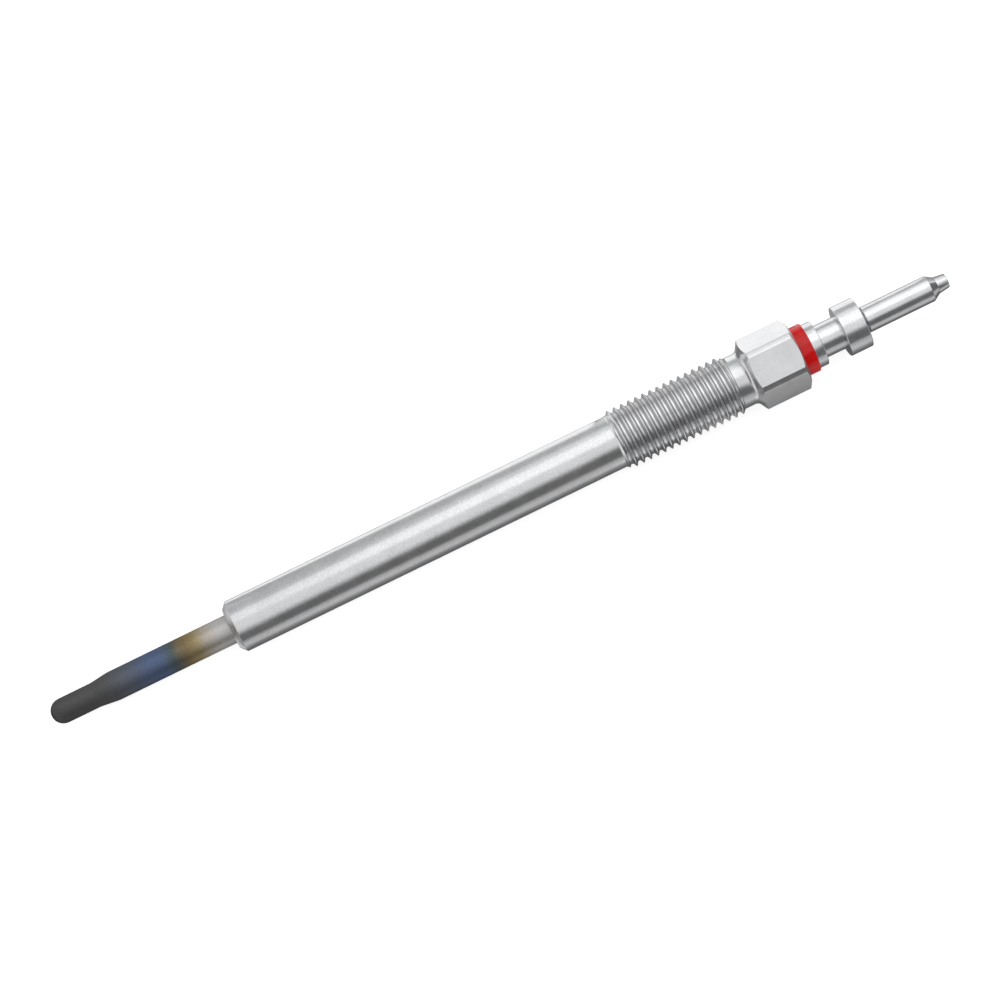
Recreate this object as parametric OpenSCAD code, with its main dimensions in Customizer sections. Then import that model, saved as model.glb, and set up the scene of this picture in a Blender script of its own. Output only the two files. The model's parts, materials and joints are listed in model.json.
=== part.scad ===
// Diesel glow plug with a metal-sheathed heater, lying at rest on a flat surface.
// Each piece is drawn along +Z with the heater's tip at zero, and lay() then puts it down.

/* [Glow tube] */
// Outer diameter of the tube where it enters the housing
tube_d = 3.9; // [3.7:0.05:4.3]
// Outer diameter of the slimmer tip
tip_d = 3.3; // [3.1:0.05:3.5]
// Length from the rounded end to the start of the taper
tip_len = 6.2; // [5:0.1:7.5]
// Length of the taper between the tip and the full tube
taper_len = 2.5; // [1.5:0.1:4]
// Length of tube that stands out of the housing
tube_reach = 25.35; // [22:0.05:30]
// Length of tube pressed into the housing
tube_grip = 18; // [14:0.5:24]
// Wall of the tube
tube_wall = 0.5; // [0.4:0.02:0.56]
// Solid metal at the welded tip
tip_wall = 1.4; // [1.2:0.1:2]

/* [Housing] */
// Diameter of the long barrel
barrel_d = 7; // [6.6:0.1:7.4]
// Length from the housing's front face to the thread
barrel_len = 54.05; // [45:0.05:70]
// Diameter of the seat cone at the front face
seat_d = 5.35; // [4.6:0.05:5.8]
// Included angle of the seat cone
seat_angle = 98; // [80:1:120]
// Radius between the housing's front face and the seat cone
seat_edge = 0.1; // [0.05:0.05:0.6]
// Outside diameter of the thread
thread_d = 8; // [7.8:0.05:8.2]
// Length of the thread with both its chamfers
thread_len = 16.7; // [10:0.1:20]
// Length of the chamfer at the thread's front end
thread_lead = 0.7; // [0.3:0.1:1.5]
// Length of the chamfer at the thread's rear end
thread_tail = 0.5; // [0.3:0.1:1]
// Diameter of the relief between the thread and the hexagon
relief_d = 7; // [6.6:0.1:7.4]
// Length of the relief
relief_len = 1.55; // [0.8:0.05:3]
// Fillet between the relief and the hexagon
relief_fillet = 0.5; // [0.2:0.1:0.8]
// Hexagon across its flats
hex_af = 8.7; // [8.5:0.05:9]
// Hexagon across its turned corners
hex_corner_d = 9.62; // [9.4:0.02:9.9]
// Length of the hexagon with both its chamfers
hex_len = 7.4; // [6:0.05:10]
// Angle of the hexagon's chamfers from its end faces
hex_chamfer = 30; // [20:1:40]
// Diameter of the hexagon's flat rear face
hex_face_d = 8.2; // [6.9:0.1:8.4]
// Bore round the centre rod
bore_d = 4.8; // [4.5:0.1:5.1]
// Counterbore for the seal and the washer's spigot
gland_d = 5.4; // [5.3:0.1:6]
// Depth of that counterbore
gland_depth = 4; // [3:0.1:6]

/* [Washer] */
// Diameter of the insulating washer
washer_d = 6.6; // [6.3:0.1:7]
// Thickness of the washer outside the housing
washer_t = 1.7; // [1:0.05:2.5]
// Length of the washer's spigot in the counterbore
spigot_len = 1.5; // [1:0.1:2.5]
// Edge radius of the washer
washer_edge = 0.06; // [0.03:0.01:0.3]

/* [Terminal] */
// Diameter of the flange that clamps the washer
flange_d = 6; // [5.6:0.1:6.4]
// Thickness of the flange
flange_t = 1.3; // [0.8:0.1:2]
// Radius of the flange's outer edge
flange_edge = 0.12; // [0.05:0.01:0.6]
// Diameter of the neck that a connector's clip grips
neck_d = 4.4; // [4.1:0.1:4.8]
// Length of the neck
neck_len = 3; // [1.5:0.1:4]
// Diameter of the collar
collar_d = 6.75; // [6.2:0.05:7.2]
// Length of the collar
collar_len = 3.05; // [2.5:0.05:5]
// Diameter at the bottom of the groove beside the collar
groove_d = 2.7; // [2.2:0.1:3]
// Width of that groove
groove_w = 0.2; // [0.15:0.05:0.6]
// Diameter of the contact pin
pin_d = 3.5; // [3.2:0.05:4]
// Length of the contact pin with its lead cone
pin_len = 9.25; // [6:0.05:14]
// Length of the lead cone between the groove and the pin
pin_lead = 0.28; // [0.1:0.02:0.6]
// Length of the cone at the pin's end
cone_len = 0.95; // [0.5:0.05:2]
// Diameter of the nib where it leaves the cone
nib_d = 2.3; // [2.1:0.05:2.7]
// Diameter of the nib at its free end
nib_end_d = 1.9; // [1.6:0.05:2.1]
// Length of the nib
nib_len = 1.5; // [0.8:0.05:2.5]
// Radius of the nib's edge
nib_edge = 0.1; // [0.05:0.01:0.2]
// Radius of the collar's edges
collar_edge = 0.14; // [0.1:0.02:0.5]
// Metal left between the rod and the collar's outer face
terminal_wall = 0.8; // [0.5:0.1:1.5]

/* [Rod and seals] */
// Diameter of the centre rod in the housing
rod_d = 3; // [2.7:0.1:3.3]
// Diameter of the rod's front end in the glow tube
rod_front_d = 1.7; // [1.5:0.1:1.9]
// Distance from the glow tube's end to the rod's shoulder
rod_step = 2; // [1:0.1:5]
// Length of the rod's spigot in the control coil
rod_spigot_len = 2.6; // [1.5:0.1:4]
// Length of the seal in the tube's open end
tube_seal_len = 3; // [2:0.1:5]
// Free play between the washer and what it fits
fit_gap = 0.05; // [0.02:0.01:0.1]

/* [Coils] */
// Diameter of the filament wire
wire_d = 0.32; // [0.24:0.02:0.4]
// Powder between the coils and the tip's wall
powder_skin = 0.15; // [0.1:0.01:0.2]
// Powder between the tip's metal and the first turn
powder_floor = 0.6; // [0.4:0.1:1]
// Turns of the heating coil
heating_turns = 8; // [5:1:10]
// Rise of the heating coil in each turn
heating_pitch = 0.7; // [0.6:0.05:0.9]
// Turns of the control coil
control_turns = 14; // [8:1:16]
// Rise of the control coil in each turn
control_pitch = 0.95; // [0.7:0.05:1.1]
// Radius at which the coil's front lead bends into its first turn
lead_bend = 0.5; // [0.4:0.05:0.8]
// Play between the wire and the powder
wire_gap = 0.03; // [0.02:0.01:0.05]

/* [Hidden] */

$fn = 96;
arc_steps = 8;
wire_sides = 6;
turn_steps = 12;
bend_steps = 5;
cut_over = 1;

// Radii
tube_r = tube_d / 2;
tip_r = tip_d / 2;
tube_bore_r = tube_r - tube_wall;
tip_bore_r = tip_r - tube_wall;
barrel_r = barrel_d / 2;
seat_r = seat_d / 2;
thread_r = thread_d / 2;
relief_r = relief_d / 2;
corner_r = hex_corner_d / 2;
gland_r = gland_d / 2;
rod_r = rod_d / 2;
rod_front_r = rod_front_d / 2;
wire_r = wire_d / 2;

// Stations along the plug, from its tip
at_tube_end = tube_reach + tube_grip;
at_barrel = tube_reach + (barrel_r - seat_r) / tan(seat_angle / 2);
at_thread = tube_reach + barrel_len;
at_relief = at_thread + thread_len;
at_hex = at_relief + relief_len;
at_hex_end = at_hex + hex_len;
at_gland = at_hex_end - gland_depth;
at_flange = at_hex_end + washer_t;
at_neck = at_flange + flange_t;
at_collar = at_neck + neck_len;
at_groove = at_collar + collar_len;
at_pin = at_groove + groove_w;
at_cone = at_pin + pin_len;
at_nib = at_cone + cone_len;
at_end = at_nib + nib_len;
at_rod_end = at_groove - terminal_wall;
at_tube_seal = at_tube_end - tube_seal_len;

// The seat cone's small end is rounded into the front face
seat_turn = 90 - seat_angle / 2;
seat_edge_r = seat_r - seat_edge * tan(seat_turn / 2);

// The hexagon's chamfers: the front one leaves the relief's fillet on a tangent
fillet_turn = 90 - hex_chamfer;
fillet_end_r = relief_r + relief_fillet * (1 - cos(fillet_turn));
at_fillet_end = at_hex + relief_fillet * sin(fillet_turn);
at_corner = at_fillet_end + (corner_r - fillet_end_r) * tan(hex_chamfer);
at_corner_end = at_hex_end - (corner_r - hex_face_d / 2) * tan(hex_chamfer);
at_flat = at_corner - (corner_r - hex_af / 2) * tan(hex_chamfer);

// The two coils share one helix, which fits the tip's bore inside a skin of powder
coil_r = tip_bore_r - powder_skin - wire_gap - wire_r;
pocket_r = coil_r + wire_r + wire_gap;
core_r = (coil_r - wire_r) * cos(180 / turn_steps) - wire_gap;
at_pocket = tip_wall + powder_floor;
heating_slope = atan(heating_pitch / (2 * PI * coil_r));
at_first_turn = at_pocket + lead_bend * cos(heating_slope);
at_joint = at_first_turn + heating_turns * heating_pitch;
at_coil_end = at_joint + control_turns * control_pitch;
at_shoulder = at_coil_end + wire_r + wire_gap;
at_rod = at_shoulder - rod_spigot_len;

// At rest the plug touches down on the barrel's front edge and on the proudest feature behind it
rest_points = [[at_thread + thread_lead, thread_r],
               [at_relief - thread_tail, thread_r],
               [at_flat, hex_af / 2],
               [at_collar + collar_edge, collar_d / 2]];
rest_tilt = atan(max([for (p = rest_points) (p[1] - barrel_r) / (p[0] - at_barrel)]));
rest_height = barrel_r * cos(rest_tilt) - at_barrel * sin(rest_tilt);
tip_x = tip_r * cos(rest_tilt) - tip_r;
end_x = (at_end - nib_edge) * cos(rest_tilt)
      + (nib_end_d / 2 - nib_edge) * sin(rest_tilt) + nib_edge;

// Points of an arc round [r, z], from one angle to another
function arc(centre, radius, from, to) =
    [for (i = [0 : arc_steps]) let (a = from + (to - from) * i / arc_steps)
        centre + radius * [cos(a), sin(a)]];

// The edge of a turned shoulder: the start of a larger diameter, or its end
function edge_start(r, z, radius) = arc([r - radius, z + radius], radius, -90, 0);
function edge_end(r, z, radius) = arc([r - radius, z - radius], radius, 0, 90);

// Puts a piece that was drawn along +Z down on the surface, with a hexagon flat below
module lay() {
    translate([-(tip_x + end_x) / 2, 0, rest_height])
        rotate([0, 90 - rest_tilt, 0])
            children();
}

// A turned piece, from its outline as [r, z] points
module turned(outline) {
    lay()
        rotate_extrude()
            polygon(outline);
}

// The hexagon's flats, as what is milled away from the turned blank
module hex_flats() {
    for (i = [0 : 5])
        rotate(60 * i)
            translate([hex_af / 2, -corner_r, at_hex])
                cube([corner_r, hex_corner_d, hex_len + cut_over]);
}

// The filament's route on its cylinder, unrolled flat: [distance round, height]
lead_route = [[0, tip_wall]];
bend_route =
    [for (i = [0 : bend_steps]) let (a = (90 - heating_slope) * i / bend_steps)
        [lead_bend * (1 - cos(a)), at_pocket + lead_bend * sin(a)]];
bend_end = lead_bend * (1 - sin(heating_slope));
heating_route =
    [for (i = [1 : heating_turns * turn_steps]) let (turn = i / turn_steps)
        [bend_end + 2 * PI * coil_r * turn, at_first_turn + heating_pitch * turn]];
control_route =
    [for (i = [1 : control_turns * turn_steps]) let (turn = i / turn_steps)
        [bend_end + 2 * PI * coil_r * (heating_turns + turn), at_joint + control_pitch * turn]];
filament_route = concat(lead_route, bend_route, heating_route, control_route);
joint_ring = len(lead_route) + len(bend_route) + len(heating_route) - 1;

// One ring of the wire, square to the route at a point of it
function wire_ring(i) =
    let (here = filament_route[i],
         before = filament_route[max(i - 1, 0)],
         after = filament_route[min(i + 1, len(filament_route) - 1)],
         slope = i == 0 ? 90 : atan2(after[1] - before[1], after[0] - before[0]),
         turn = here[0] / coil_r * 180 / PI,
         out = [cos(turn), sin(turn), 0],
         along = [-sin(turn), cos(turn), 0],
         across = along * sin(slope) - [0, 0, cos(slope)])
    [for (k = [0 : wire_sides - 1]) let (a = 360 * k / wire_sides)
        out * (coil_r + wire_r * cos(a)) + [0, 0, here[1]] + across * wire_r * sin(a)];

// The stretch of filament between two rings of its route
module filament(first, last) {
    points = [for (i = [first : last]) each wire_ring(i)];
    rings = last - first;
    sides = [for (i = [0 : rings - 1], k = [0 : wire_sides - 1])
        let (a = i * wire_sides + k, b = i * wire_sides + (k + 1) % wire_sides)
        each [[a, b, b + wire_sides], [a, b + wire_sides, a + wire_sides]]];
    front = [[for (k = [wire_sides - 1 : -1 : 0]) k]];
    back = [[for (k = [0 : wire_sides - 1]) rings * wire_sides + k]];
    lay()
        polyhedron(points, concat(sides, front, back));
}

module housing() {
    color("lightgray")
        lay()
            difference() {
                rotate_extrude()
                    polygon(concat(
                        [[tube_r, tube_reach]],
                        arc([seat_edge_r, tube_reach + seat_edge], seat_edge, -90, seat_turn - 90),
                        [[barrel_r, at_barrel],
                         [barrel_r, at_thread],
                         [thread_r, at_thread + thread_lead],
                         [thread_r, at_relief - thread_tail],
                         [relief_r, at_relief]],
                        arc([relief_r + relief_fillet, at_hex], relief_fillet, 180, 180 - fillet_turn),
                        [[corner_r, at_corner],
                         [corner_r, at_corner_end],
                         [hex_face_d / 2, at_hex_end],
                         [gland_r, at_hex_end],
                         [gland_r, at_gland],
                         [bore_d / 2, at_gland],
                         [bore_d / 2, at_tube_end],
                         [tube_r, at_tube_end]]));
                hex_flats();
            }
}

module glow_tube() {
    color("dimgray")
        turned(concat(
            arc([0, tip_r], tip_r, -90, 0),
            [[tip_r, tip_len],
             [tube_r, tip_len + taper_len],
             [tube_r, at_tube_end],
             [tube_bore_r, at_tube_end],
             [tube_bore_r, tip_len + taper_len],
             [tip_bore_r, tip_len],
             [tip_bore_r, tip_wall],
             [0, tip_wall]]));
}

module heating_coil() {
    color("tan")
        filament(0, joint_ring);
}

module control_coil() {
    color("darkkhaki")
        filament(joint_ring, len(filament_route) - 1);
}

module insulating_powder() {
    color("ivory")
        difference() {
            turned([[0, tip_wall],
                    [tip_bore_r, tip_wall],
                    [tip_bore_r, tip_len],
                    [tube_bore_r, tip_len + taper_len],
                    [tube_bore_r, at_tube_seal],
                    [rod_front_r, at_tube_seal],
                    [rod_front_r, at_shoulder],
                    [pocket_r, at_shoulder],
                    [pocket_r, at_pocket],
                    [core_r, at_pocket],
                    [core_r, at_rod],
                    [0, at_rod]]);
            // The hole that the coil's front lead passes through
            lay()
                translate([coil_r, 0, tip_wall - cut_over])
                    cylinder(r = wire_r + wire_gap, h = powder_floor + 2 * cut_over);
        }
}

module tube_seal() {
    color("darkslategray")
        turned([[rod_front_r, at_tube_seal],
                [tube_bore_r, at_tube_seal],
                [tube_bore_r, at_tube_end],
                [rod_front_r, at_tube_end]]);
}

module centre_rod() {
    at_step = at_tube_end + rod_step;
    color("silver")
        turned([[0, at_rod],
                [core_r, at_rod],
                [core_r, at_shoulder],
                [rod_front_r, at_shoulder],
                [rod_front_r, at_step],
                [rod_r, at_step + rod_r - rod_front_r],
                [rod_r, at_rod_end],
                [0, at_rod_end]]);
}

module housing_seal() {
    color("black")
        turned([[rod_r, at_gland],
                [gland_r, at_gland],
                [gland_r, at_hex_end - spigot_len],
                [rod_r, at_hex_end - spigot_len]]);
}

module insulating_washer() {
    color("crimson")
        turned(concat(
            [[rod_r + fit_gap, at_hex_end - spigot_len],
             [gland_r - fit_gap, at_hex_end - spigot_len],
             [gland_r - fit_gap, at_hex_end]],
            edge_start(washer_d / 2, at_hex_end, washer_edge),
            edge_end(washer_d / 2, at_flange, washer_edge),
            [[rod_r + fit_gap, at_flange]]));
}

module terminal_pin() {
    color("gainsboro")
        turned(concat(
            [[rod_r, at_flange],
             [flange_d / 2, at_flange]],
            edge_end(flange_d / 2, at_neck, flange_edge),
            [[neck_d / 2, at_neck],
             [neck_d / 2, at_collar]],
            edge_start(collar_d / 2, at_collar, collar_edge),
            edge_end(collar_d / 2, at_groove, collar_edge),
            [[groove_d / 2, at_groove],
             [groove_d / 2, at_pin],
             [pin_d / 2, at_pin + pin_lead],
             [pin_d / 2, at_cone],
             [nib_d / 2, at_nib]],
            edge_end(nib_end_d / 2, at_end, nib_edge),
            [[0, at_end],
             [0, at_rod_end],
             [rod_r, at_rod_end]]));
}

housing();
glow_tube();
heating_coil();
control_coil();
insulating_powder();
tube_seal();
centre_rod();
housing_seal();
insulating_washer();
terminal_pin();
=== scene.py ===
"""Looks of a diesel glow plug, modelled and finished round its CAD frame."""
import json
import math

import bmesh
import bpy
from bpy.props import FloatProperty, FloatVectorProperty, PointerProperty
from mathutils import Matrix, Vector


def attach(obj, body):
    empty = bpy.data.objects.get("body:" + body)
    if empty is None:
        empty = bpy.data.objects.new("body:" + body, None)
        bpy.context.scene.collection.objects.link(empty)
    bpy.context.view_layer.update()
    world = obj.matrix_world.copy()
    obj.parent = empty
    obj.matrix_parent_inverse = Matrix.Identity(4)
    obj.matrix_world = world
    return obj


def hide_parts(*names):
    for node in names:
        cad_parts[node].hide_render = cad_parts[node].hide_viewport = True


bl_info = {
    "name": "Diesel glow plug",
    "version": (1, 0, 0),
    "blender": (4, 5, 0),
    "location": "3D View > Sidebar > Glow plug",
    "description": "Models and finishes a diesel glow plug round its CAD frame",
    "category": "Object",
}

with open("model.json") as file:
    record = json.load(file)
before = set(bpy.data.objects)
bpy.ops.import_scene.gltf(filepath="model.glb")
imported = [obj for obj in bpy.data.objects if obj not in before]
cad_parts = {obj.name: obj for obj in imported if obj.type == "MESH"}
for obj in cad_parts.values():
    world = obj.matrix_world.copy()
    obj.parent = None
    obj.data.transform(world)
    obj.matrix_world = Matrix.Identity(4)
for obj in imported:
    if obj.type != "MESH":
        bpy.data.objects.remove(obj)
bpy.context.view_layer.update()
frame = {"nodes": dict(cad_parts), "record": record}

MM = 0.001
SIDES = 96
ARC_STEP = math.radians(15)
MERGE = 0.0005 * MM
CREASE = math.radians(20)


# Places that come from the frame

def mount(name):
    """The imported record's mount of that name."""
    return next(m for m in frame["record"]["mounts"] if m["name"] == name)


AXIS = Vector(mount("terminal")["axis"]).normalized()
SIDE = Vector((0, 1, 0))
RISE = AXIS.cross(SIDE)


def span(node):
    """Where a CAD node starts and ends along the plug's axis, from the frame's origin."""
    stations = [v.co.dot(AXIS) for v in frame["nodes"][node].data.vertices]
    return min(stations), max(stations)


TIP = span("glow_tube")[0]
AXIS_POINT = Vector(mount("terminal")["pos_m"])
PLUG = Matrix((AXIS, SIDE, RISE)).transposed().to_4x4()
PLUG.translation = AXIS_POINT + AXIS * (TIP - AXIS_POINT.dot(AXIS))

TUBE_END = span("glow_tube")[1] - TIP
HOUSING_FRONT = span("housing")[0] - TIP
HOUSING_REAR = span("housing")[1] - TIP
WASHER_FRONT = span("insulating_washer")[0] - TIP
WASHER_REAR = span("insulating_washer")[1] - TIP
PLUG_END = span("terminal_pin")[1] - TIP
ROD_END = span("centre_rod")[1] - TIP
THREAD_MIDDLE = Vector(mount("thread")["pos_m"]).dot(AXIS) - TIP
THREAD_R = mount("thread")["dims"]["r_mm"] * MM
CREST_LEN = mount("thread")["dims"]["length_mm"] * MM
PIN_R = mount("terminal")["dims"]["r_mm"] * MM


# Sizes and colours that a user would change

def length(name, description, millimetres):
    """A length, with its default in millimetres."""
    return FloatProperty(name=name, description=description, default=millimetres * MM,
                         min=0.0, precision=5, subtype="DISTANCE", unit="LENGTH")


def angle(name, description, degrees):
    """An angle, with its default in degrees."""
    return FloatProperty(name=name, description=description, default=math.radians(degrees),
                         subtype="ANGLE", unit="ROTATION")


def colour(name, description, rgb):
    """A linear colour."""
    return FloatVectorProperty(name=name, description=description, default=rgb, size=3,
                               min=0.0, max=1.0, subtype="COLOR")


def share(name, description, value):
    """A number between nothing and the whole."""
    return FloatProperty(name=name, description=description, default=value, min=0.0, max=1.0,
                         subtype="FACTOR")


def strength(name, description, value):
    """The brightness of a light or of a surface that glows."""
    return FloatProperty(name=name, description=description, default=value, min=0.0)


class HousingSizes(bpy.types.PropertyGroup):
    """Sizes of the housing"""
    barrel_d: length("Barrel", "Diameter of the long barrel", 7.0)
    seat_d: length("Seat", "Diameter of the seat cone at the front face", 5.35)
    seat_angle: angle("Seat angle", "Included angle of the seat cone", 98)
    seat_edge: length("Seat edge", "Radius between the front face and the seat cone", 0.1)
    pitch: length("Pitch", "Pitch of the thread", 1.0)
    thread_lead: length("Thread lead", "Length of the chamfer at the thread's front end", 0.7)
    thread_tail: length("Thread tail", "Length of the chamfer at the thread's rear end", 0.5)
    thread_turn: angle("Thread turn", "Turn of the thread about the axis", 173)
    root_d: length("Root", "Diameter at the bottom of the thread", 7.0)
    crest_flat: length("Crest", "Width of the thread's crest", 0.12)
    crest_edge: length("Crest edge", "Radius of the thread's crest edges", 0.03)
    root_edge: length("Root edge", "Radius at the bottom of the thread", 0.12)
    run_out: length("Run-out", "Length in which the thread gains its depth", 0.5)
    relief_d: length("Relief", "Diameter between the thread and the hexagon", 7.0)
    relief_len: length("Relief length", "Length between the thread and the fillet", 1.38)
    relief_fillet: length("Relief fillet", "Fillet between the relief and the hexagon", 0.8)
    hex_af: length("Flats", "Hexagon across its flats", 8.7)
    hex_corner_d: length("Corners", "Hexagon across its turned corners", 9.62)
    hex_chamfer: angle("Chamfer", "Angle of the hexagon's chamfers from its end faces", 30)
    hex_face_d: length("Rear face", "Diameter of the hexagon's flat rear face", 8.2)
    hex_edge: length("Flat edge", "Width of the broken edge round each flat", 0.05)
    bore_d: length("Bore", "Bore round the centre rod", 4.8)
    gland_d: length("Counterbore", "Counterbore for the seal and the washer", 5.4)
    gland_depth: length("Counterbore depth", "Depth of the counterbore", 4.0)


class GlowTubeSizes(bpy.types.PropertyGroup):
    """Sizes of the glow tube"""
    tube_d: length("Tube", "Outer diameter of the tube", 3.9)
    tip_d: length("Tip", "Outer diameter of the slimmer tip", 3.3)
    tip_len: length("Tip length", "Length from the round end to the taper", 6.2)
    taper_len: length("Taper", "Length of the taper", 2.5)
    taper_blend: length("Taper blend", "Radius at both ends of the taper", 3.0)
    wall: length("Wall", "Wall of the tube", 0.5)
    tip_wall: length("Tip wall", "Solid metal at the welded tip", 1.4)


class WasherSizes(bpy.types.PropertyGroup):
    """Sizes of the insulating washer"""
    washer_d: length("Washer", "Diameter of the insulating washer", 6.6)
    spigot_d: length("Spigot", "Diameter of the spigot in the housing", 5.3)
    hole_d: length("Hole", "Hole for the centre rod", 3.1)
    edge: length("Edge", "Radius of the washer's edges", 0.06)


class TerminalSizes(bpy.types.PropertyGroup):
    """Sizes of the terminal"""
    flange_d: length("Flange", "Diameter of the flange on the washer", 6.0)
    flange_t: length("Flange thickness", "Thickness of the flange", 1.3)
    flange_edge: length("Flange edge", "Radius of the flange's outer edge", 0.12)
    neck_d: length("Neck", "Diameter of the neck", 4.4)
    neck_len: length("Neck length", "Length of the neck", 3.0)
    collar_d: length("Collar", "Diameter of the collar", 6.75)
    collar_len: length("Collar length", "Length of the collar", 3.05)
    collar_edge: length("Collar edge", "Radius of the collar's edges", 0.14)
    groove_d: length("Groove", "Diameter at the bottom of the groove", 2.7)
    groove_w: length("Groove width", "Width of the groove beside the collar", 0.2)
    pin_lead: length("Pin lead", "Length of the lead cone between the groove and the pin", 0.28)
    cone_len: length("Cone", "Length of the cone at the pin's end", 0.95)
    nib_d: length("Nib", "Diameter of the nib at the cone", 2.3)
    nib_end_d: length("Nib end", "Diameter of the nib at its free end", 1.9)
    nib_len: length("Nib length", "Length of the nib", 1.5)
    nib_edge: length("Nib edge", "Radius of the nib's edge", 0.1)
    rod_d: length("Rod hole", "Hole for the centre rod", 3.0)


class Finishes(bpy.types.PropertyGroup):
    """Colours and gloss of the pieces"""
    steel: colour("Plated steel", "Housing's plated steel", (0.64, 0.645, 0.655))
    steel_roughness: share("Steel roughness", "Roughness of the plated steel", 0.235)
    # Painted shade: the share of brightness left on the thread flanks that face the terminal.
    flank_shade: share("Flank tone", "Brightness of the flank that bears, next to the other", 0.75)
    nickel: colour("Nickel", "Terminal's nickel plate", (0.66, 0.667, 0.68))
    nickel_roughness: share("Nickel roughness", "Roughness of the nickel plate", 0.22)
    plastic: colour("Red plastic", "Insulating washer", (0.585, 0.002, 0.002))
    charcoal: colour("Charcoal", "Hottest end of the glow tube", (0.129, 0.129, 0.129))
    slate: colour("Slate", "Where the charcoal turns blue", (0.140, 0.155, 0.190))
    blue: colour("Temper blue", "Blue part of the glow tube", (0.121, 0.164, 0.275))
    teal: colour("Teal", "Where the blue turns brown", (0.109, 0.141, 0.150))
    bronze: colour("Bronze", "Brown part of the glow tube", (0.261, 0.194, 0.102))
    gold: colour("Gold", "Golden part of the glow tube", (0.394, 0.325, 0.180))
    straw: colour("Straw", "Palest tint of the glow tube", (0.520, 0.478, 0.424))
    bare: colour("Bare alloy", "Glow tube where it stayed cool", (0.573, 0.562, 0.547))
    sooty_edge: share("Sooty edge", "How much the glow tube shines at its edges", 0.5)
    wire: colour("Wire", "Filament wire", (0.36, 0.33, 0.29))
    magnesia: colour("Magnesia", "Packed insulating powder", (0.80, 0.77, 0.70))
    rubber: colour("Rubber", "Seals", (0.018, 0.018, 0.019))
    rod: colour("Rod steel", "Centre rod", (0.55, 0.55, 0.55))


class StageSettings(bpy.types.PropertyGroup):
    """Camera, floor, lights and boards"""
    camera_height: length("Camera height", "Camera above the floor", 438.0)
    camera_along: length("Camera along", "Camera's place along the plug from its tip", 63.1)
    camera_aside: FloatProperty(name="Camera aside", description="Camera's place beside the plug",
                                default=-0.245 * MM, precision=5, subtype="DISTANCE", unit="LENGTH")
    camera_back: length("Camera back", "Camera's distance from there towards the tip", 17.5)
    camera_turn: angle("Camera turn", "Turn of the picture about the line of sight", -25.98)
    focal_length: FloatProperty(name="Focal length", description="Focal length in millimetres",
                                default=123.4, min=1.0, subtype="DISTANCE_CAMERA", unit="CAMERA")
    floor: colour("Floor", "Pale floor", (0.86, 0.86, 0.86))
    floor_glow: strength("Floor glow", "Light that the floor itself gives", 0.6)
    softbox: strength("Softbox", "Power of the wide light overhead in watts", 2.17)
    far_softbox: strength("Far softbox", "Power of the light beyond the plug in watts", 11.1)
    room: strength("Room", "Brightness of the room round the plug", 0.6)
    side_flag: strength("Side flags", "Brightness of the dark boards beside the plug", 0.16)
    tip_flag: strength("Tip flag", "Brightness of the low board beyond the tip", 0.75)
    tip_board: strength("Tip board", "Brightness of the white boards behind and above it", 1.1)
    rear_board: strength("Rear board", "Brightness of the white board beyond the thread", 1.2)
    tip_shade: strength("Tip shade", "Brightness of the dark board that leans over the tip", 0.2)
    pin_flag: strength("Pin flag", "Brightness of the dark board beyond the pin", 0.15)
    fillet_flag: strength("Fillet flag", "Brightness of the small board beside the fillet", 0.22)
    white_card: strength("White card", "Brightness of which each card on the table has a share", 1.38)


class PlugSettings(bpy.types.PropertyGroup):
    """All settings of the glow plug"""
    housing: PointerProperty(type=HousingSizes)
    glow_tube: PointerProperty(type=GlowTubeSizes)
    washer: PointerProperty(type=WasherSizes)
    terminal: PointerProperty(type=TerminalSizes)
    finish: PointerProperty(type=Finishes)
    stage: PointerProperty(type=StageSettings)


# Turned shapes

FULL_ROUND = 0.999


def draw_outline(bm, corners):
    """A wire through (station, radius, rounding) corners. Returns its vertices and edges."""
    verts = [bm.verts.new((station, 0, radius)) for station, radius, _ in corners]
    edges = [bm.edges.new(pair) for pair in zip(verts, verts[1:])]
    before = set(bm.verts) - set(verts)
    for vert, (_, _, rounding) in zip(verts, corners):
        if rounding:
            round_corner(bm, vert, rounding)
    drawn = [v for v in bm.verts if v not in before]
    return drawn + list(dict.fromkeys(e for v in drawn for e in v.link_edges))


def round_corner(bm, vert, radius):
    """Rounds a corner of a wire to a radius."""
    back, on = (e.other_vert(vert).co - vert.co for e in vert.link_edges)
    turn = math.pi - back.angle(on)
    bmesh.ops.bevel(bm, geom=[vert], offset=radius * math.tan(turn / 2), offset_type="OFFSET",
                    segments=max(2, math.ceil(turn / ARC_STEP)), profile=0.5, affect="VERTICES",
                    material=-1)


def turn(bm, corners):
    """Turns an outline into a body of revolution about the plug's axis."""
    bmesh.ops.spin(bm, geom=draw_outline(bm, corners), cent=(0, 0, 0), axis=(1, 0, 0),
                   dvec=(0, 0, 0), angle=2 * math.pi, steps=SIDES, use_merge=True)


def finish_piece(context, bm, name, node, material):
    """Lays a shape that was drawn along +X on the plug's axis, as a piece that stands for a node."""
    bmesh.ops.remove_doubles(bm, verts=bm.verts[:], dist=MERGE)
    bmesh.ops.recalc_face_normals(bm, faces=bm.faces[:])
    bmesh.ops.transform(bm, matrix=PLUG, verts=bm.verts[:])
    mesh = bpy.data.meshes.new(name)
    bm.to_mesh(mesh)
    bm.free()
    mesh.set_sharp_from_angle(angle=CREASE)
    mesh.materials.append(material)
    piece = bpy.data.objects.new(name, mesh)
    context.scene.collection.objects.link(piece)
    normals = piece.modifiers.new("large_faces_lead", "WEIGHTED_NORMAL")
    normals.keep_sharp = True
    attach(piece, "root")
    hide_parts(node)


# Materials

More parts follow.
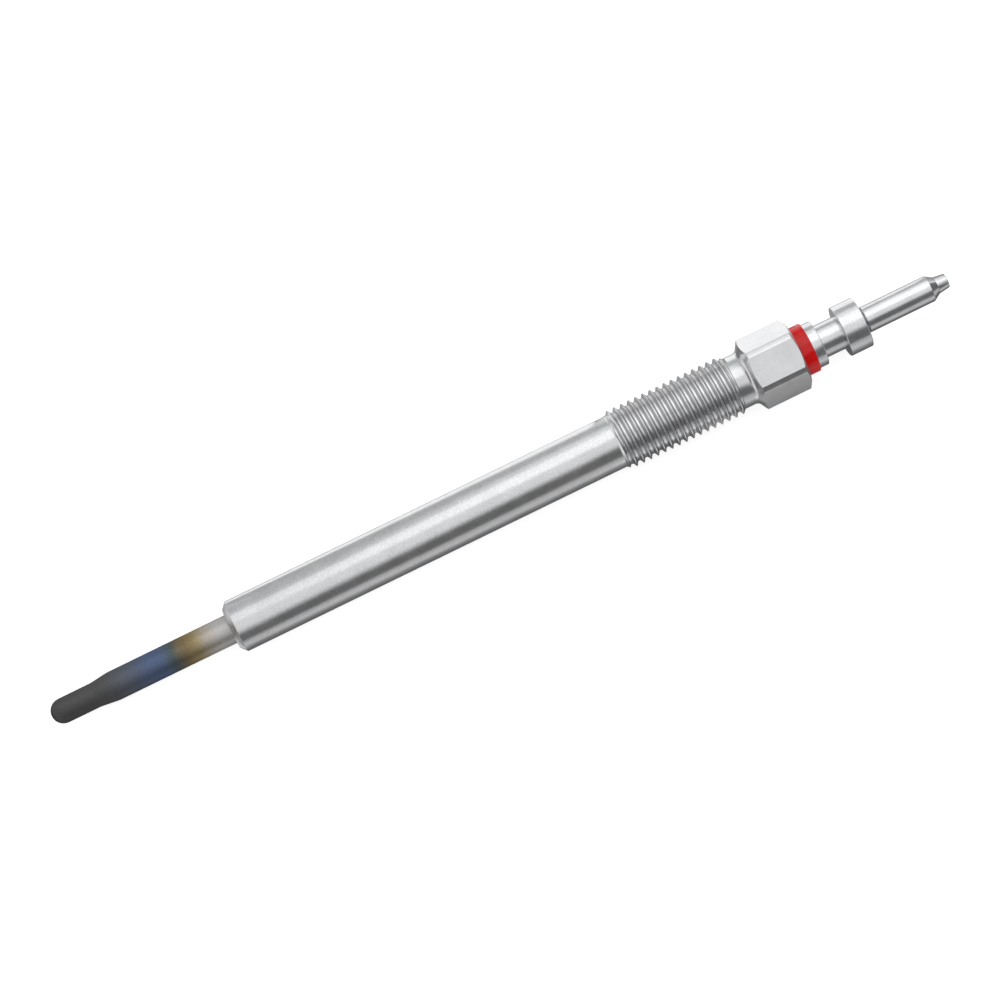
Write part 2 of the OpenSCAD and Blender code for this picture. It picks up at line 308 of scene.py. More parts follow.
BLACK = (0.0, 0.0, 0.0)
WHITE = (1.0, 1.0, 1.0)
MIX_COLOURS = slice(6, 8)
MIX_RESULT = 2
NOISE_MIDDLE = 0.5
SPECKLE = 0.22 * MM
TURNED_SPECKLE = 1.1
MILLED_SPECKLE = 0.5
FLANK_BEGINS = 0.35
FLANK_FULL = 0.75
TINT_DRIFT = 1.6 * MM


class Finish:
    """A material under way, with short ways to add its nodes."""

    def __init__(self, name):
        self.material = bpy.data.materials.new(name)
        self.material.use_nodes = True
        self.tree = self.material.node_tree
        self.shader = self.tree.nodes["Principled BSDF"]

    def feed(self, socket, value):
        """Links a socket to another node's output, or sets its value."""
        if isinstance(value, bpy.types.NodeSocket):
            self.tree.links.new(value, socket)
        else:
            socket.default_value = value

    def fill(self, node, inputs):
        """Feeds a node's inputs by name, with an underscore for each space."""
        for name, value in inputs.items():
            self.feed(node.inputs[name.replace("_", " ")], value)

    def node(self, kind, **inputs):
        """A new node with some of its inputs fed."""
        made = self.tree.nodes.new(kind)
        self.fill(made, inputs)
        return made

    def surface(self, **inputs):
        """Feeds the shader's own sockets."""
        self.fill(self.shader, inputs)

    def place(self):
        """Coordinates in metres from the plug's tip, with X along its axis."""
        source = self.node("ShaderNodeTexCoord")
        placed = self.node("ShaderNodeMapping", Vector=source.outputs["Object"],
                           Location=PLUG.translation, Rotation=PLUG.to_euler())
        placed.vector_type = "TEXTURE"
        return placed.outputs["Vector"]

    def coordinate(self, place, axis):
        """One of the three coordinates."""
        return self.node("ShaderNodeSeparateXYZ", Vector=place).outputs[axis]

    def noise(self, place, feature, detail=2.0):
        """Noise with features of about that size."""
        made = self.node("ShaderNodeTexNoise", Vector=place, Scale=1 / feature, Detail=detail)
        return made.outputs["Fac"]

    def ramp(self, factor, stops):
        """Colours at (position, colour) stops."""
        made = self.node("ShaderNodeValToRGB", Fac=factor)
        elements = made.color_ramp.elements
        while len(elements) < len(stops):
            elements.new(1.0)
        for element, (position, rgb) in zip(elements, stops):
            element.position = position
            element.color = (*rgb, 1.0)
        return made.outputs["Color"]

    def varied(self, factor, rgb, darkest, lightest, start=0.3, end=0.7):
        """Shades of a colour, from its darkest at the start to its lightest at the end."""
        return self.ramp(factor, [(start, shade(rgb, darkest)), (end, shade(rgb, lightest))])

    def between(self, factor, low, high, start=0.0, end=1.0):
        """A number that runs from low to high while the factor runs from start to end."""
        made = self.node("ShaderNodeMapRange", Value=factor, From_Min=start, From_Max=end,
                         To_Min=low, To_Max=high)
        return made.outputs["Result"]

    def math(self, operation, *values):
        """The result of a sum, a product or a test."""
        made = self.tree.nodes.new("ShaderNodeMath")
        made.operation = operation
        for socket, value in zip(made.inputs, values):
            self.feed(socket, value)
        return made.outputs["Value"]

    def multiplied(self, tone, by, factor=1.0):
        """A colour multiplied by another, in part or in full."""
        made = self.node("ShaderNodeMix", Factor=factor)
        made.data_type = "RGBA"
        made.blend_type = "MULTIPLY"
        for socket, value in zip(made.inputs[MIX_COLOURS], (tone, by)):
            self.feed(socket, value)
        return made.outputs[MIX_RESULT]

    def relief(self, height, depth, under=None):
        """A bump of that depth, on top of another if there is one."""
        made = self.node("ShaderNodeBump", Height=height, Distance=depth, Strength=1.0)
        if under:
            self.feed(made.inputs["Normal"], under)
        return made.outputs["Normal"]

    def machined_skin(self, place, ring, ring_depth, squeeze, grain, grain_depth):
        """Bumps of the fine rings that a lathe leaves, with a grain on top of them."""
        drawn_out = self.node("ShaderNodeMapping", Vector=place, Scale=(1.0, squeeze, squeeze))
        rings = self.noise(drawn_out.outputs["Vector"], ring, detail=3.0)
        return self.relief(self.noise(place, grain), grain_depth, under=self.relief(rings, ring_depth))


def shade(rgb, factor):
    """A colour made lighter or darker."""
    return tuple(min(1.0, c * factor) for c in rgb)


def turned_metal(name, rgb, roughness, thread=None, flank_shade=1.0):
    """Satin metal with fine rings from the lathe, a plated grain and faint clouding.

    Where there is a thread, painted shade darkens its flanks that face the terminal, and the metal
    beyond it, which is milled, has less of the speckle.
    """
    finish = Finish(name)
    place = finish.place()
    clouds = finish.noise(place, feature=2.5 * MM, detail=3.0)
    speckle = finish.math("SUBTRACT", finish.noise(place, SPECKLE, detail=1.0), NOISE_MIDDLE)
    if thread:
        along = finish.coordinate(place, "X")
        milled = finish.math("GREATER_THAN", along, thread.end)
        contrast = finish.between(milled, TURNED_SPECKLE, MILLED_SPECKLE)
        speckle = finish.math("MULTIPLY", speckle, contrast)
    tone = finish.varied(finish.math("ADD", clouds, speckle), rgb, darkest=0.89, lightest=1.09,
                         start=0.1, end=0.9)
    if thread:
        # Painted shade on the thread's flanks that face the terminal.
        tone = paint_flank_shade(finish, along, tone, thread, flank_shade)
    satin = finish.between(clouds, low=roughness - 0.04, high=roughness + 0.05)
    skin = finish.machined_skin(place, ring=0.11 * MM, ring_depth=0.0016 * MM, squeeze=0.02,
                                grain=0.16 * MM, grain_depth=0.0032 * MM)
    finish.surface(Base_Color=tone, Metallic=1.0, Roughness=satin, Normal=skin)
    return finish.material


def paint_flank_shade(finish, along, tone, thread, shaded):
    """Paints shade on the thread's flanks that face the terminal by darkening their colour."""
    normal = finish.node("ShaderNodeTexCoord").outputs["Normal"]
    facing = finish.tree.nodes.new("ShaderNodeVectorMath")
    facing.operation = "DOT_PRODUCT"
    for socket, value in zip(facing.inputs, (normal, AXIS)):
        finish.feed(socket, value)
    flank = finish.between(facing.outputs["Value"], low=0.0, high=1.0, start=FLANK_BEGINS,
                           end=FLANK_FULL)
    inside = finish.math("MULTIPLY", finish.math("GREATER_THAN", along, thread.start),
                         finish.math("LESS_THAN", along, thread.end))
    part = finish.math("MULTIPLY", flank, inside)
    return finish.multiplied(tone, (shaded, shaded, shaded, 1.0), part)


def tinted_alloy(colours, reach):
    """Sheath alloy that heat has tinted from charcoal at its tip to bare metal at the housing."""
    finish = Finish("tinted_alloy")
    place = finish.place()
    clouds = finish.noise(place, feature=1.6 * MM, detail=3.0)
    drift = finish.math("MULTIPLY_ADD", clouds, TINT_DRIFT, -TINT_DRIFT / 2)
    heat = finish.math("DIVIDE", finish.math("ADD", finish.coordinate(place, "X"), drift), reach)
    tint = finish.ramp(heat, [
        (0.00, shade(colours.charcoal, 0.9)), (0.29, colours.charcoal), (0.42, colours.slate),
        (0.56, colours.blue), (0.62, colours.blue), (0.68, colours.teal), (0.755, colours.bronze),
        (0.82, colours.gold), (0.88, colours.straw), (0.93, colours.bare)])
    speckle = finish.varied(finish.noise(place, SPECKLE, detail=1.0), WHITE, darkest=0.81,
                            lightest=1.0, start=0.25, end=0.75)
    satin = finish.between(heat, low=0.58, high=0.46, start=0.3, end=0.9)
    skin = finish.machined_skin(place, ring=0.15 * MM, ring_depth=0.0015 * MM, squeeze=0.03,
                                grain=0.14 * MM, grain_depth=0.0040 * MM)
    finish.surface(Base_Color=finish.multiplied(tint, speckle), Metallic=1.0, Roughness=satin,
                   Normal=skin, Specular_Tint=(*shade(WHITE, colours.sooty_edge), 1.0))
    return finish.material


def moulded_plastic(rgb):
    """Semi-gloss moulded plastic with a faint flow mottle."""
    finish = Finish("moulded_plastic")
    place = finish.place()
    mottle = finish.noise(place, feature=0.9 * MM, detail=3.0)
    tone = finish.varied(mottle, rgb, darkest=0.9, lightest=1.06)
    gloss = finish.between(mottle, low=0.08, high=0.15)
    skin = finish.relief(finish.noise(place, feature=0.25 * MM), depth=0.004 * MM)
    finish.surface(Base_Color=tone, Roughness=gloss, Specular_IOR_Level=0.34, Normal=skin)
    return finish.material


def inner_finish(name, rgb, metallic, roughness, feature, depth):
    """A plain matt or metal finish with a grain of its own, for pieces inside the plug."""
    finish = Finish(name)
    grain = finish.noise(finish.place(), feature, detail=3.0)
    tone = finish.varied(grain, rgb, darkest=0.85, lightest=1.1)
    worn = finish.between(grain, low=roughness - 0.08, high=roughness + 0.08)
    finish.surface(Base_Color=tone, Metallic=metallic, Roughness=worn,
                   Normal=finish.relief(grain, depth))
    return finish.material


# Thread and hexagon of the housing

FLANK_ANGLE = math.radians(30)
FLANK_CUTS = 5
LEAD_IN_TURNS = 2
FLATS = 6


class Thread:
    """The thread's ends and its envelope, a cylinder with a chamfer at each end."""

    def __init__(self, sizes):
        self.front_r = sizes.barrel_d / 2
        self.rear_r = sizes.relief_d / 2
        self.start = THREAD_MIDDLE - CREST_LEN / 2 - sizes.thread_lead
        self.end = THREAD_MIDDLE + CREST_LEN / 2 + sizes.thread_tail
        self.front_slope = (THREAD_R - self.front_r) / sizes.thread_lead
        self.rear_slope = (THREAD_R - self.rear_r) / sizes.thread_tail
        self.run_out = sizes.run_out

    def envelope(self, station):
        """The blank's radius at a station."""
        return min(THREAD_R, self.front_r + (station - self.start) * self.front_slope,
                   self.rear_r + (self.end - station) * self.rear_slope)

    def depth_share(self, station):
        """How much of its full depth the thread has at a station."""
        part = min(1.0, (station - self.start) / self.run_out, (self.end - station) / self.run_out)
        return part * part * (3 - 2 * part)


def cut_thread(bm, sizes):
    """Screws one turn's outline along the axis, trims it and brings it within the chamfered blank."""
    thread = Thread(sizes)
    root_r = sizes.root_d / 2
    flank = (THREAD_R - root_r) * math.tan(FLANK_ANGLE)
    crest = (sizes.pitch - sizes.crest_flat) / 2
    first = thread.start - sizes.pitch * (LEAD_IN_TURNS - sizes.thread_turn / (2 * math.pi))
    outline = [(first, root_r, 0),
               (first + crest - flank, root_r, sizes.root_edge),
               (first + crest, THREAD_R, sizes.crest_edge),
               (first + crest + sizes.crest_flat, THREAD_R, sizes.crest_edge),
               (first + crest + sizes.crest_flat + flank, root_r, sizes.root_edge),
               (first + sizes.pitch, root_r, 0)]
    wire = draw_outline(bm, outline)
    flanks = [e for e in wire if isinstance(e, bmesh.types.BMEdge) and e.calc_length() > flank / 2]
    bmesh.ops.subdivide_edges(bm, edges=flanks, cuts=FLANK_CUTS)
    bmesh.ops.spin(bm, geom=bm.verts[:] + bm.edges[:], cent=(0, 0, 0), axis=(1, 0, 0),
                   dvec=(sizes.pitch / SIDES, 0, 0), angle=2 * math.pi, steps=SIDES, use_merge=False)
    first_turn = bm.verts[:] + bm.edges[:] + bm.faces[:]
    for i in range(1, math.ceil((thread.end - first) / sizes.pitch)):
        copied = bmesh.ops.duplicate(bm, geom=first_turn)["geom"]
        bmesh.ops.translate(bm, vec=(i * sizes.pitch, 0, 0),
                            verts=[v for v in copied if isinstance(v, bmesh.types.BMVert)])
    bmesh.ops.remove_doubles(bm, verts=bm.verts[:], dist=MERGE)
    for station, outwards in ((thread.start, -1), (thread.end, 1)):
        bmesh.ops.bisect_plane(bm, geom=bm.verts[:] + bm.edges[:] + bm.faces[:], dist=MERGE,
                               plane_co=(station, 0, 0), plane_no=(outwards, 0, 0), clear_outer=True)
    for vert in bm.verts:
        reach = math.hypot(vert.co.y, vert.co.z)
        blank = thread.envelope(vert.co.x)
        wanted = blank + thread.depth_share(vert.co.x) * min(0.0, reach - blank)
        vert.co.y *= wanted / reach
        vert.co.z *= wanted / reach
    return thread


def open_ring(bm, station):
    """The open edges that lie in a plane across the axis."""
    return [e for e in bm.edges
            if e.is_boundary and all(abs(v.co.x - station) < 2 * MERGE for v in e.verts)]


def mill_hexagon(bm, sizes):
    """Mills the six flats and breaks their edges."""
    flats = []
    for i in range(FLATS):
        across = Matrix.Rotation(math.radians(360 / FLATS * i), 3, "X") @ Vector((0, 0, 1))
        cut = bmesh.ops.bisect_plane(bm, geom=bm.verts[:] + bm.edges[:] + bm.faces[:], dist=MERGE,
                                     plane_co=across * sizes.hex_af / 2, plane_no=across,
                                     clear_outer=True)["geom_cut"]
        rim = [e for e in cut if isinstance(e, bmesh.types.BMEdge)]
        flats += bmesh.ops.edgeloop_fill(bm, edges=rim)["faces"]
    rims = list(dict.fromkeys(e for face in flats for e in face.edges))
    bmesh.ops.bevel(bm, geom=rims, offset=sizes.hex_edge, offset_type="OFFSET", segments=2,
                    profile=0.5, affect="EDGES", clamp_overlap=True, material=-1)


# Operators

class GLOWPLUG_OT_housing(bpy.types.Operator):
    """Models the housing with its seat, barrel, thread, relief and hexagon"""
    bl_idname = "glow_plug.housing"
    bl_label = "Housing"

    def execute(self, context):
        settings = context.scene.glow_plug
        sizes = settings.housing
        bm = bmesh.new()
        thread = cut_thread(bm, sizes)
        joint = sizes.relief_len / 4
        seat_len = (sizes.barrel_d - sizes.seat_d) / 2 / math.tan(sizes.seat_angle / 2)
        slope = math.tan(sizes.hex_chamfer)
        fillet_turn = math.pi / 2 - sizes.hex_chamfer
        hex_start = thread.end + sizes.relief_len + sizes.relief_fillet * math.tan(fillet_turn / 2)
        corner_r = sizes.hex_corner_d / 2
        tube_r = settings.glow_tube.tube_d / 2
        turn(bm, [
            (thread.end + joint, sizes.relief_d / 2, 0),
            (hex_start, sizes.relief_d / 2, sizes.relief_fillet),
            (hex_start + (corner_r - sizes.relief_d / 2) * slope, corner_r, 0),
            (HOUSING_REAR - (corner_r - sizes.hex_face_d / 2) * slope, corner_r, 0),
            (HOUSING_REAR, sizes.hex_face_d / 2, 0),
            (HOUSING_REAR, sizes.gland_d / 2, 0),
            (HOUSING_REAR - sizes.gland_depth, sizes.gland_d / 2, 0),
            (HOUSING_REAR - sizes.gland_depth, sizes.bore_d / 2, 0),
            (TUBE_END, sizes.bore_d / 2, 0),
            (TUBE_END, tube_r, 0),
            (HOUSING_FRONT, tube_r, 0),
            (HOUSING_FRONT, sizes.seat_d / 2, sizes.seat_edge),
            (HOUSING_FRONT + seat_len, sizes.barrel_d / 2, 0),
            (thread.start - joint, sizes.barrel_d / 2, 0)])
        for near, far in ((thread.start, thread.start - joint), (thread.end, thread.end + joint)):
            bmesh.ops.bridge_loops(bm, edges=open_ring(bm, near) + open_ring(bm, far))
        mill_hexagon(bm, sizes)
        finish = settings.finish
        # The steel gets painted shade on its thread flanks that face the terminal.
        material = turned_metal("plated_steel", finish.steel, finish.steel_roughness, thread,
                                finish.flank_shade)
        finish_piece(context, bm, "threaded_housing", "housing", material)
        return {"FINISHED"}


class GLOWPLUG_OT_glow_tube(bpy.types.Operator):
    """Models the glow tube with its round, heat-tinted tip"""
    bl_idname = "glow_plug.glow_tube"
    bl_label = "Glow tube"

    def execute(self, context):
        settings = context.scene.glow_plug
        sizes = settings.glow_tube
        tip_r = sizes.tip_d / 2
        tube_r = sizes.tube_d / 2
        taper_end = sizes.tip_len + sizes.taper_len
        bm = bmesh.new()
        turn(bm, [
            (0, 0, 0),
            (0, tip_r, tip_r * FULL_ROUND),
            (sizes.tip_len, tip_r, sizes.taper_blend),
            (taper_end, tube_r, sizes.taper_blend),
            (TUBE_END, tube_r, 0),
            (TUBE_END, tube_r - sizes.wall, 0),
            (taper_end, tube_r - sizes.wall, 0),
            (sizes.tip_len, tip_r - sizes.wall, 0),
            (sizes.tip_wall, tip_r - sizes.wall, 0),
            (sizes.tip_wall, 0, 0)])
        material = tinted_alloy(settings.finish, HOUSING_FRONT)
        finish_piece(context, bm, "tinted_glow_tube", "glow_tube", material)
        return {"FINISHED"}


class GLOWPLUG_OT_washer(bpy.types.Operator):
    """Models the red insulating washer with its spigot"""
    bl_idname = "glow_plug.washer"
    bl_label = "Insulating washer"

    def execute(self, context):
        settings = context.scene.glow_plug
        sizes = settings.washer
        hole_r = sizes.hole_d / 2
        bm = bmesh.new()
        turn(bm, [
            (WASHER_FRONT, hole_r, 0),
            (WASHER_FRONT, sizes.spigot_d / 2, 0),
            (HOUSING_REAR, sizes.spigot_d / 2, 0),
            (HOUSING_REAR, sizes.washer_d / 2, sizes.edge),
            (WASHER_REAR, sizes.washer_d / 2, sizes.edge),
            (WASHER_REAR, hole_r, 0),
            (WASHER_FRONT, hole_r, 0)])
        material = moulded_plastic(settings.finish.plastic)
        finish_piece(context, bm, "red_washer", "insulating_washer", material)
        return {"FINISHED"}


class GLOWPLUG_OT_terminal(bpy.types.Operator):
    """Models the terminal with its flange, neck, collar, pin and nib"""
    bl_idname = "glow_plug.terminal"
    bl_label = "Terminal"

    def execute(self, context):
        settings = context.scene.glow_plug
        sizes = settings.terminal
        neck = WASHER_REAR + sizes.flange_t
        collar = neck + sizes.neck_len
        groove = collar + sizes.collar_len
        nib = PLUG_END - sizes.nib_len
        rod_r = sizes.rod_d / 2
        bm = bmesh.new()
        turn(bm, [
            (ROD_END, 0, 0),
            (ROD_END, rod_r, 0),
            (WASHER_REAR, rod_r, 0),
            (WASHER_REAR, sizes.flange_d / 2, 0),
            (neck, sizes.flange_d / 2, sizes.flange_edge),
            (neck, sizes.neck_d / 2, 0),
            (collar, sizes.neck_d / 2, 0),
            (collar, sizes.collar_d / 2, sizes.collar_edge),
            (groove, sizes.collar_d / 2, sizes.collar_edge),
            (groove, sizes.groove_d / 2, 0),
            (groove + sizes.groove_w, sizes.groove_d / 2, 0),
            (groove + sizes.groove_w + sizes.pin_lead, PIN_R, 0),
            (nib - sizes.cone_len, PIN_R, 0),
            (nib, sizes.nib_d / 2, 0),
            (PLUG_END, sizes.nib_end_d / 2, sizes.nib_edge),
            (PLUG_END, 0, 0)])
        finish = settings.finish
        material = turned_metal("nickel_plate", finish.nickel, finish.nickel_roughness)
        finish_piece(context, bm, "plated_terminal", "terminal_pin", material)
        return {"FINISHED"}


class GLOWPLUG_OT_inner_pieces(bpy.types.Operator):
    """Finishes the coils, the powder, the rod and the seals inside the plug"""
    bl_idname = "glow_plug.inner_pieces"
    bl_label = "Inner pieces"

    def execute(self, context):
        finish = context.scene.glow_plug.finish
        wire = inner_finish("filament_wire", finish.wire, metallic=1.0, roughness=0.4,
                            feature=0.1 * MM, depth=0.002 * MM)
        powder = inner_finish("packed_magnesia", finish.magnesia, metallic=0.0, roughness=0.85,
                              feature=0.08 * MM, depth=0.02 * MM)
        rubber = inner_finish("seal_rubber", finish.rubber, metallic=0.0, roughness=0.6,
                              feature=0.2 * MM, depth=0.006 * MM)
        rod = inner_finish("drawn_rod", finish.rod, metallic=1.0, roughness=0.35,
                           feature=0.3 * MM, depth=0.002 * MM)
        finishes = {"heating_coil": wire, "control_coil": wire, "insulating_powder": powder,
                    "tube_seal": rubber, "housing_seal": rubber, "centre_rod": rod}
        for name, material in finishes.items():
            materials = frame["nodes"][name].data.materials
            materials.clear()
            materials.append(material)
        return {"FINISHED"}


class GLOWPLUG_OT_stage(bpy.types.Operator):
    """Sets the pale floor, the soft lights, the boards and cards, and the camera"""
    bl_idname = "glow_plug.stage"
    bl_label = "Stage"

    def execute(self, context):
        stage = context.scene.glow_plug.stage
        lay_floor(context, stage)
        light_room(context, stage)
        hang_softbox(context, "wide_softbox", stage.softbox, centre=(0.181, 0.466, 0.75),
                     size=(1.35, 1.25), degrees=25)
        hang_softbox(context, "far_softbox", stage.far_softbox, centre=(1.03, 1.745, 0.70),
                     size=(1.97, 3.2), degrees=-4)
        hang_side_flags(context, stage)
        stand_end_flags(context, stage)
        stand_rear_boards(context, stage)
        lay_shadow_cards(context)
        lay_white_cards(context, stage)
        aim_camera(context, stage)
        context.scene.view_settings.view_transform = "Standard"
        return {"FINISHED"}


# Stage

FLOOR_SPAN = 8.0
FLAG_DISTANCE = 0.5
UPRIGHT = Matrix.Rotation(math.radians(90), 4, "Y")
CARD_SPAN = 2.0
CARD_REACH = 30 * MM
CARD_LIFT = 0.15 * MM
SENSOR = 36.0
NEAR_CLIP = 0.01


def rotation(degrees, axis):
    """A turn about one of the three axes."""
    return Matrix.Rotation(math.radians(degrees), 4, axis)


def matt_surface(name, rgb, glow):
    """A matt surface that also gives a little light of its own."""
    finish = Finish(name)
    finish.surface(Base_Color=(*rgb, 1.0), Roughness=1.0, Specular_IOR_Level=0.0,
                   Emission_Color=(*WHITE, 1.0), Emission_Strength=glow)
    return finish.material


def sheet(context, name, size, place, material):
    """A flat rectangle of the stage."""
    bm = bmesh.new()
    bmesh.ops.create_grid(bm, x_segments=1, y_segments=1, size=0.5)
    bmesh.ops.scale(bm, vec=(*size, 1.0), verts=bm.verts[:])
    bmesh.ops.transform(bm, matrix=place, verts=bm.verts[:])
    return stage_piece(context, name, bm, material)


def quad(context, name, corners, material):
    """A flat card of the stage with corners of its own."""
    bm = bmesh.new()
    bm.faces.new([bm.verts.new(corner) for corner in corners])
    return stage_piece(context, name, bm, material)


def stage_piece(context, name, bm, material):
    """Puts a shape on the stage, apart from the plug."""
    mesh = bpy.data.meshes.new(name)
    bm.to_mesh(mesh)
    bm.free()
    mesh.materials.append(material)
    made = bpy.data.objects.new(name, mesh)
    context.scene.collection.objects.link(made)
    return made


def lay_floor(context, stage):
    """The pale floor that the plug lies on."""
    material = matt_surface("pale_floor", stage.floor, stage.floor_glow)
    sheet(context, "floor", (FLOOR_SPAN, FLOOR_SPAN), Matrix.Identity(4), material)


def light_room(context, stage):
    """An even white room round the floor."""
    world = bpy.data.worlds.new("room")
    world.use_nodes = True
    background = world.node_tree.nodes["Background"]
    background.inputs["Color"].default_value = (*WHITE, 1.0)
    background.inputs["Strength"].default_value = stage.room
    context.scene.world = world


def hang_softbox(context, name, power, centre, size, degrees):
    """A soft rectangular light that shines straight down."""
    light = bpy.data.lights.new(name, "AREA")
    light.shape = "RECTANGLE"
    light.size, light.size_y = size
    light.energy = power
    softbox = bpy.data.objects.new(name, light)
    softbox.location = centre
    softbox.rotation_euler = (0.0, 0.0, math.radians(degrees))
    context.scene.collection.objects.link(softbox)


def only_reflected(card):
    """Lets only the metal's reflections see a card, as a studio card outside the picture."""
    card.visible_camera = False
    card.visible_diffuse = False
    card.visible_shadow = False
    card.visible_transmission = False


def hang_flag(context, name, glow, size, place):
    """A board of one brightness that shows only in reflections."""
    only_reflected(sheet(context, name, size, place, matt_surface(name, BLACK, glow)))


def hang_side_flags(context, stage):
    """Two dark boards, one above the other, that draw the dark line along the plug."""
    for name, lean, turned in (("upper_side_flag", 45.5, 28), ("lower_side_flag", 61, 12)):
        place = (rotation(lean, "X") @ Matrix.Translation((0, 0, FLAG_DISTANCE))
                 @ rotation(turned, "Z"))
        hang_flag(context, name, stage.side_flag, size=(0.8, 0.22), place=place)


def stand_end_flags(context, stage):
    """Boards beyond both ends of the plug, one of them dark and leaning over its tip."""
    # Name, brightness, place along the plug, lower edge, upper edge and width, in metres
    for name, glow, along, low, high, width in (
            ("tip_flag", stage.tip_flag, -0.5, 0.0, 0.125, 0.5),
            ("tip_backdrop", stage.tip_board, -0.52, 0.0, 0.125, 1.7),
            ("tip_board", stage.tip_board, -0.5, 0.125, 0.335, 1.7),
            ("pin_flag", stage.pin_flag, 0.5, 0.0, 0.27, 0.4)):
        place = Matrix.Translation((along, 0, (low + high) / 2)) @ UPRIGHT
        hang_flag(context, name, glow, size=(high - low, width), place=place)
    leaning = rotation(-36, "Y") @ Matrix.Translation((0, 0, FLAG_DISTANCE))
    hang_flag(context, "tip_shade", stage.tip_shade, size=(0.25, 0.5), place=leaning)


def stand_rear_boards(context, stage):
    """A white board behind the thread, and a small dark one beside the hexagon's fillet."""
    beyond = rotation(40, "Z") @ Matrix.Translation((0.6, 0, 0.21)) @ UPRIGHT
    hang_flag(context, "rear_board", stage.rear_board, size=(0.42, 0.55), place=beyond)
    beside = Matrix.Translation((33.4 * MM, 5.8 * MM, 3.2 * MM)) @ UPRIGHT
    hang_flag(context, "fillet_flag", stage.fillet_flag, size=(6.0 * MM, 3.5 * MM), place=beside)


def graded_card(name, greys):
    """A card whose brightness follows (distance across the plug in millimetres, grey) stops, a painted
    shadow on the table that only reflections see.
    """
    finish = Finish(name)
    place = finish.node("ShaderNodeTexCoord").outputs["Object"]
    across = finish.between(finish.coordinate(place, "Y"), low=0.0, high=1.0, start=-CARD_REACH,
                            end=CARD_REACH)
    stops = [((y * MM / CARD_REACH + 1) / 2, (grey, grey, grey)) for y, grey in greys]
    finish.surface(Base_Color=(*BLACK, 1.0), Specular_IOR_Level=0.0,
                   Emission_Color=finish.ramp(across, stops), Emission_Strength=1.0)
    return finish.material


def lay_shadow_cards(context):
    """Two cards under the plug that meet at its seat, a painted shadow of the plug on the table: dark
    by the barrel, lighter by the tube.
    """
    # Painted shadow: greys of the plug's shadow on the table, as the metal mirrors it.
    barrel_greys = [(-24, 0.70), (-15, 0.37), (-8, 0.17), (-2, 0.12), (2, 0.35), (5.5, 0.40),
                    (18, 0.58)]
    tip_greys = [(-24, 0.65), (-8, 0.45), (-5, 0.18), (-2, 0.18), (2, 0.40), (5, 0.50), (7, 0.95),
                 (20, 0.80)]
    seat = PLUG @ Vector((HOUSING_FRONT, 0, 0))
    for name, side, greys in (("barrel_card", 1, barrel_greys), ("tip_card", -1, tip_greys)):
        place = Matrix.Translation((seat.x + side * CARD_SPAN / 2, 0, CARD_LIFT))
        material = graded_card(name, greys)
        only_reflected(sheet(context, name, (CARD_SPAN, 2 * CARD_SPAN), place, material))


def lay_white_cards(context, stage):
    """White and grey cards on the table, where the barrel, the thread and the terminal mirror it."""
    # Name, share of the white card's brightness, and corners in millimetres
    cards = (
        ("barrel_white", 0.93, [(-37.5, 5.6), (15.5, 5.4), (15.5, 17), (-37.5, 8.5)]),
        ("relief_white", 1.0, [(33, 6.3), (36, 6.3), (36, 24), (33, 24)]),
        ("hex_white", 1.03, [(36, 8), (44, 8), (44, 24), (36, 24)]),
        ("terminal_white", 0.93, [(44, 5.9), (62, 5.9), (62, 22), (44, 25)]),
        ("seat_card", 0.58, [(-47, -5.2), (-39, -5.2), (-39, -3), (-47, -3)]),
        ("thread_card", 0.32, [(26, -10), (32, -10), (32, -4.5), (26, -4.5)]),
        ("thread_white", 0.62, [(16, 6), (32, 6), (32, 28), (16, 28)]),
        ("thread_front", 0.75, [(18, -60), (33, -60), (33, -14), (18, -14)]),
    )
    for name, part, corners in cards:
        material = matt_surface(name, BLACK, part * stage.white_card)
        card = quad(context, name, [(x * MM, y * MM, 2 * CARD_LIFT) for x, y in corners], material)
        only_reflected(card)


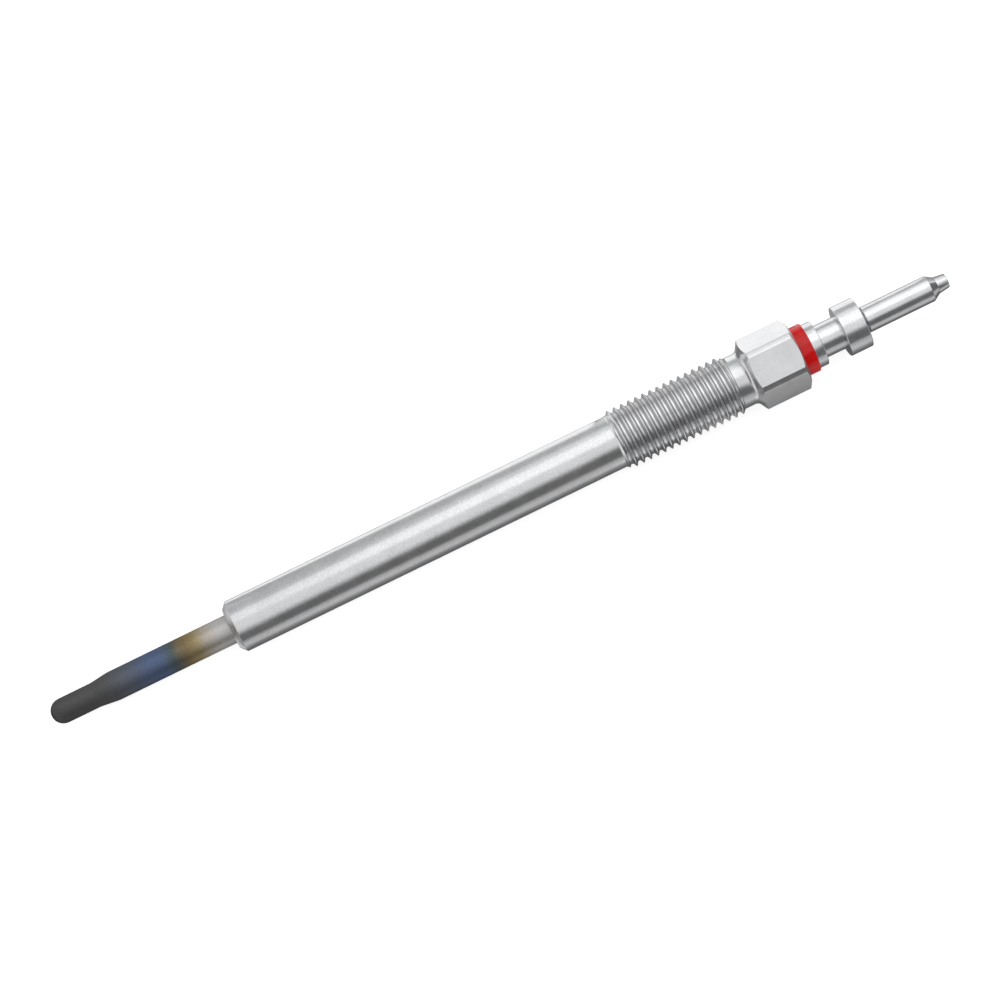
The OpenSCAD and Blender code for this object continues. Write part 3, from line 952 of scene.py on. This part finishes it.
def aim_camera(context, stage):
    """A camera that looks straight down, with its lens shifted back over the plug's middle."""
    data = bpy.data.cameras.new("camera")
    data.lens = stage.focal_length
    data.sensor_width = SENSOR
    data.clip_start = NEAR_CLIP
    camera = bpy.data.objects.new("camera", data)
    below = PLUG @ Vector((stage.camera_along, stage.camera_aside, 0.0))
    camera.location = (below.x - stage.camera_back, below.y, stage.camera_height)
    picture = (stage.camera_height - below.z) * data.sensor_width / data.lens
    data.shift_x = math.cos(stage.camera_turn) * stage.camera_back / picture
    data.shift_y = -math.sin(stage.camera_turn) * stage.camera_back / picture
    camera.rotation_euler = (0.0, 0.0, stage.camera_turn)
    context.scene.collection.objects.link(camera)
    context.scene.camera = camera


class GLOWPLUG_PT_sidebar(bpy.types.Panel):
    """Lists the glow plug's pieces and its stage"""
    bl_label = "Glow plug"
    bl_idname = "GLOWPLUG_PT_sidebar"
    bl_space_type = "VIEW_3D"
    bl_region_type = "UI"
    bl_category = "Glow plug"

    def draw(self, context):
        for operator in OPERATORS:
            self.layout.operator(operator.bl_idname)


OPERATORS = (
    GLOWPLUG_OT_housing,
    GLOWPLUG_OT_glow_tube,
    GLOWPLUG_OT_washer,
    GLOWPLUG_OT_terminal,
    GLOWPLUG_OT_inner_pieces,
    GLOWPLUG_OT_stage,
)
CLASSES = (
    HousingSizes,
    GlowTubeSizes,
    WasherSizes,
    TerminalSizes,
    Finishes,
    StageSettings,
    PlugSettings,
    *OPERATORS,
    GLOWPLUG_PT_sidebar,
)


def register():
    """Adds the classes and the scene's settings."""
    for cls in CLASSES:
        bpy.utils.register_class(cls)
    bpy.types.Scene.glow_plug = PointerProperty(type=PlugSettings)


def unregister():
    """Takes them away again."""
    del bpy.types.Scene.glow_plug
    for cls in reversed(CLASSES):
        bpy.utils.unregister_class(cls)


def main():
    """Makes the pieces and the stage."""
    register()
    bpy.ops.glow_plug.housing()
    bpy.ops.glow_plug.glow_tube()
    bpy.ops.glow_plug.washer()
    bpy.ops.glow_plug.terminal()
    bpy.ops.glow_plug.inner_pieces()
    bpy.ops.glow_plug.stage()


if __name__ == "__main__":
    main()
